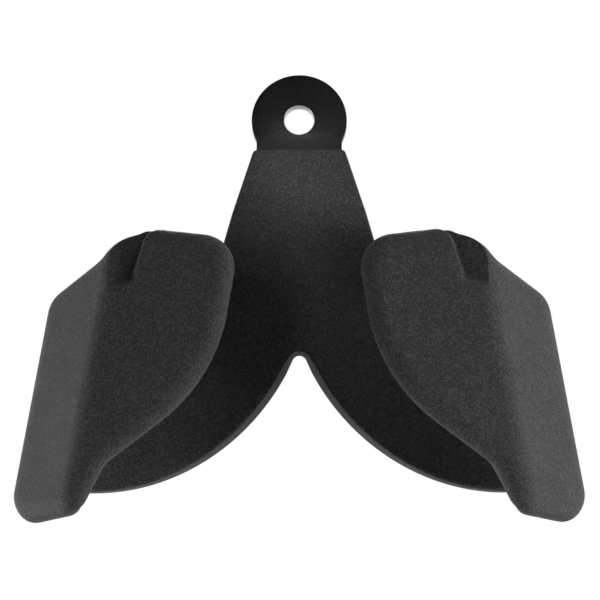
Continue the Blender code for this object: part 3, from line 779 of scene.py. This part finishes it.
def background_rays(tree, y):
    """1 for camera and transmitted rays, and for reflections where y, ahead of the object, fades in to 0.5."""
    rays = add_node(tree, "ShaderNodeLightPath")
    behind = add_node(tree, "ShaderNodeMapRange", interpolation_type="SMOOTHSTEP")
    behind.inputs["From Min"].default_value = 0.0
    behind.inputs["From Max"].default_value = 0.5
    tree.links.new(y, behind.inputs["Value"])
    mirrored = add_node(tree, "ShaderNodeMath", operation="MULTIPLY")
    tree.links.new(rays.outputs["Is Glossy Ray"], mirrored.inputs[0])
    tree.links.new(behind.outputs["Result"], mirrored.inputs[1])
    direct = add_node(tree, "ShaderNodeMath", operation="MAXIMUM")
    tree.links.new(rays.outputs["Is Camera Ray"], direct.inputs[0])
    tree.links.new(rays.outputs["Is Transmission Ray"], direct.inputs[1])
    seen = add_node(tree, "ShaderNodeMath", operation="MAXIMUM")
    tree.links.new(direct.outputs["Value"], seen.inputs[0])
    tree.links.new(mirrored.outputs["Value"], seen.inputs[1])
    return seen.outputs["Value"]


def stage():
    """A pale floor well below the hanging handle, which keeps its shadow on top of its own pale tone."""
    activate_none()
    bpy.ops.mesh.primitive_plane_add(size=20, location=(0, 0, -1.6))
    floor = bpy.context.object
    floor.name = "floor"
    material, tree, shader = new_material("pale_floor")
    shader.inputs["Base Color"].default_value = (0.80, 0.80, 0.80, 1.0)
    shader.inputs["Roughness"].default_value = 0.7
    where = add_node(tree, "ShaderNodeTexCoord")
    parts = add_node(tree, "ShaderNodeSeparateXYZ")
    tree.links.new(where.outputs["Object"], parts.inputs["Vector"])
    pale = add_node(tree, "ShaderNodeMix", data_type="RGBA")
    pale.inputs["A"].default_value = (0.0, 0.0, 0.0, 1.0)
    pale.inputs["B"].default_value = (0.62, 0.62, 0.62, 1.0)
    tree.links.new(background_rays(tree, parts.outputs["Y"]), pale.inputs["Factor"])
    tree.links.new(pale.outputs["Result"], shader.inputs["Emission Color"])
    shader.inputs["Emission Strength"].default_value = 1.0
    paint(floor, material)


def world():
    """White where the camera or a reflection looks at the background, and a soft grey as light."""
    made = bpy.data.worlds.new("studio")
    bpy.context.scene.world = made
    made.use_nodes = True
    tree = made.node_tree
    background = tree.nodes["Background"]
    direction = add_node(tree, "ShaderNodeTexCoord")
    parts = add_node(tree, "ShaderNodeSeparateXYZ")
    tree.links.new(direction.outputs["Generated"], parts.inputs["Vector"])
    level = add_node(tree, "ShaderNodeMix", data_type="RGBA")
    level.inputs["A"].default_value = (AMBIENT, AMBIENT, AMBIENT, 1.0)
    level.inputs["B"].default_value = (1.0, 1.0, 1.0, 1.0)
    tree.links.new(background_rays(tree, parts.outputs["Y"]), level.inputs["Factor"])
    tree.links.new(level.outputs["Result"], background.inputs["Color"])


AMBIENT = 0.003

# name, azimuth to the right of the camera's side, elevation, distance, width, height and power of each soft lamp
LAMPS = (
    ("low_right", 65, -18, 1.31, 0.50, 0.185, 8.2),
    ("low_left", -90, -18, 1.31, 0.50, 0.185, 7.1),
    ("low_right_rear", 115, -18, 1.31, 0.50, 0.185, 1.6),
    ("low_left_rear", -115, -18, 1.31, 0.50, 0.185, 1.6),
    ("side_right", 90, 30, 1.3, 0.50, 0.50, 1.0),
    ("side_left", -90, 30, 1.3, 0.50, 0.50, 0.8),
    ("side_right_rear", 115, 30, 1.3, 0.50, 0.50, 0.5),
    ("front_left", -35, 0, 1.3, 0.50, 0.50, 1.35),
    ("high_front", 35, 30, 1.3, 0.50, 0.50, 0.8),
    ("high_right", 60, 60, 1.3, 0.50, 0.50, 2.2),
    ("rear_high", 180, 40, 1.3, 0.50, 0.50, 5.0),
)
# azimuth, elevation, distance, drop of the aim below the eye, cone and power of the snooted lamp on the body's top
SNOOT = (0, 35, 1.3, 0.044, math.radians(2.8), 34.0)


def direction(azimuth, elevation):
    turn, rise = math.radians(azimuth), math.radians(elevation)
    return Vector((math.sin(turn) * math.cos(rise), -math.cos(turn) * math.cos(rise), math.sin(rise)))


def place_lamp(light, aim, away, distance, power):
    light.energy = power
    lamp = bpy.data.objects.new(light.name, light)
    lamp.location = aim + away * distance
    lamp.rotation_euler = away.to_track_quat("Z", "Y").to_euler()
    bpy.context.scene.collection.objects.link(lamp)


def lamps():
    for name, azimuth, elevation, distance, width, height, power in LAMPS:
        light = bpy.data.lights.new(name, "AREA")
        light.shape = "RECTANGLE"
        light.size = width
        light.size_y = height
        place_lamp(light, Vector((0, 0, -0.11)), direction(azimuth, elevation), distance, power)
    azimuth, elevation, distance, drop, cone, power = SNOOT
    light = bpy.data.lights.new("snoot_body_top", "SPOT")
    light.spot_size = cone
    light.spot_blend = 1.0
    light.shadow_soft_size = 0.03
    place_lamp(light, Vector((0, 0, -drop)), direction(azimuth, elevation), distance, power)


def camera():
    """The photograph's view: from 14.4 degrees below the horizontal, 1.24 m away, a little to the right."""
    azimuth, elevation, distance = math.radians(0.74), math.radians(-14.36), 1.243
    metres_per_pixel = 0.000535
    look = Vector(
        (-math.sin(azimuth) * math.cos(elevation), math.cos(azimuth) * math.cos(elevation), -math.sin(elevation))
    )
    right = Vector((math.cos(azimuth), math.sin(azimuth), 0))
    up = right.cross(look)
    target = -(300 - 121.8) * metres_per_pixel * up + 0.72 * metres_per_pixel * right
    lens = bpy.data.cameras.new("camera")
    lens.sensor_width = 36
    lens.lens = 36 / (600 * metres_per_pixel / distance)
    view = bpy.data.objects.new("camera", lens)
    view.matrix_world = (
        Matrix.Translation(target - distance * look) @ Matrix((right, up, -look)).transposed().to_4x4()
    )
    bpy.context.scene.collection.objects.link(view)
    bpy.context.scene.camera = view


def main():
    pebble, tone = pebble_group(), tone_group()
    cover = urethane_cover()
    paint(cover, black_urethane(pebble, tone))
    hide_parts("urethane_cover")
    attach(cover, "root")

    plate = hanger_plate()
    paint(plate, black_powder_coat(pebble, tone))
    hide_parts("hanger_plate")
    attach(plate, "root")

    rolled = bare_steel("rolled_steel", tone, (1, 1, 12), (0.36, 0.36, 0.37), (0.46, 0.46, 0.47))
    ground = bare_steel("ground_weld_steel", tone, (14, 1, 1), (0.44, 0.43, 0.42), (0.56, 0.55, 0.54))
    for name in ("wing_plate_left", "wing_plate_right"):
        paint(frame["nodes"][name], rolled)
    for name in ("tongue_weld_left", "tongue_weld_right", "ridge_weld"):
        paint(frame["nodes"][name], ground)

    stage()
    world()
    lamps()
    camera()
    bpy.context.scene.view_settings.view_transform = "Standard"


main()
